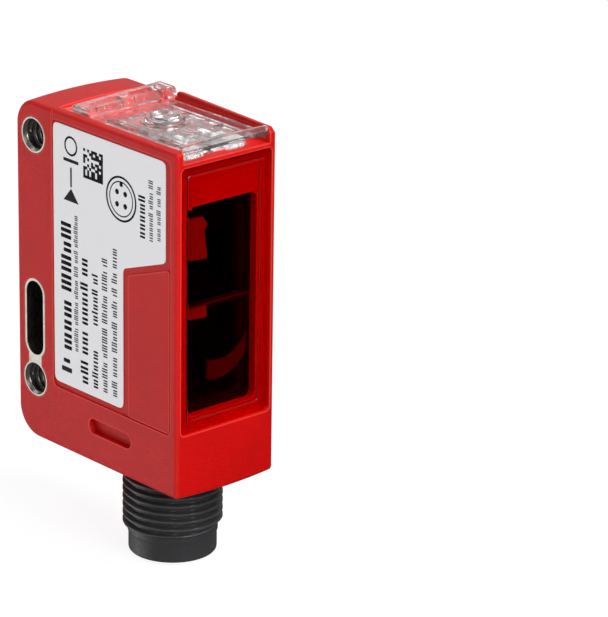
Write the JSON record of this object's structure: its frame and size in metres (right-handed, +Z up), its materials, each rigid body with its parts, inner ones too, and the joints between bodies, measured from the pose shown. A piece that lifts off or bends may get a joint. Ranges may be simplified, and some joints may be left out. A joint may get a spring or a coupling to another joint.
{
  "type": "photoelectric sensor",
  "caption": "Slim cubic reflex photoelectric sensor with a red housing, tinted front window, clear top cover with teach button, side mounting slot and holes, and a threaded round plug.",
  "frame": {"origin": "on the flat mounting face of the plain side, between the upper sleeve and the slot, in line with their centres", "axes": "+X out of the plain side, away from the label side; -Y the way the lens looks; +Z up, away from the plug"},
  "size_m": [0.015, 0.0295, 0.0543],
  "materials": {
    "red_plastic": "fine matte grain on glass-filled plastic",
    "red_window": "polished, translucent deep red",
    "clear_plastic": "polished, clear",
    "frosted_plastic": "frosted, translucent",
    "nickel": "nickel-plated, turned",
    "label_film": "satin printed film",
    "black_plastic": "fine matte grain",
    "gold_plate": "gold-plated, turned",
    "rubber": "moulded",
    "flex_film": "amber film",
    "polariser_film": "smooth dark film",
    "board": "solder mask",
    "chip": "moulded resin",
    "emitter_resin": "cast resin",
    "green_led": "cast resin",
    "yellow_led": "cast resin"
  },
  "bodies": {
    "sensor_body": {"housing": "red_plastic", "front_window": "red_window", "top_cover": "clear_plastic", "light_pipe_left": "frosted_plastic", "light_pipe_right": "frosted_plastic", "upper_sleeve": "nickel", "slotted_insert": "nickel", "label": "label_film", "connector_shell": "black_plastic", "contact_carrier": "black_plastic", "contact_pin_1": "gold_plate", "contact_pin_2": "gold_plate", "contact_pin_3": "gold_plate", "contact_pin_4": "gold_plate", "connector_seal": "rubber", "connector_flex": "flex_film", "optics_carrier": "black_plastic", "transmitter_lens": "clear_plastic", "receiver_lens": "clear_plastic", "transmitter_polariser": "polariser_film", "receiver_polariser": "polariser_film", "main_board": "board", "indicator_board": "board", "board_link": "chip", "signal_chip": "chip", "regulator_chip": "chip", "crystal_can": "nickel", "filter_capacitor": "nickel", "transmitter_led": "emitter_resin", "receiver_photodiode": "chip", "receiver_shield": "nickel", "status_led_green": "green_led", "status_led_yellow": "yellow_led", "switch_body": "black_plastic"},
    "button": {"teach_button": "clear_plastic"},
    "plunger": {"switch_plunger": "black_plastic"}
  },
  "joints": [
    {"name": "button_press", "type": "slide", "parent": "sensor_body", "child": "button", "axis": [0, 0, -1], "range_m": [0, 0.0004], "stiffness_N_per_m": 3000},
    {"name": "plunger_press", "type": "slide", "parent": "sensor_body", "child": "plunger", "axis": [0, 0, -1], "range_m": [0, 0.0004]}
  ],
  "couplings": [
    {"joint": "plunger_press", "follows": "button_press", "ratio": 1}
  ]
}
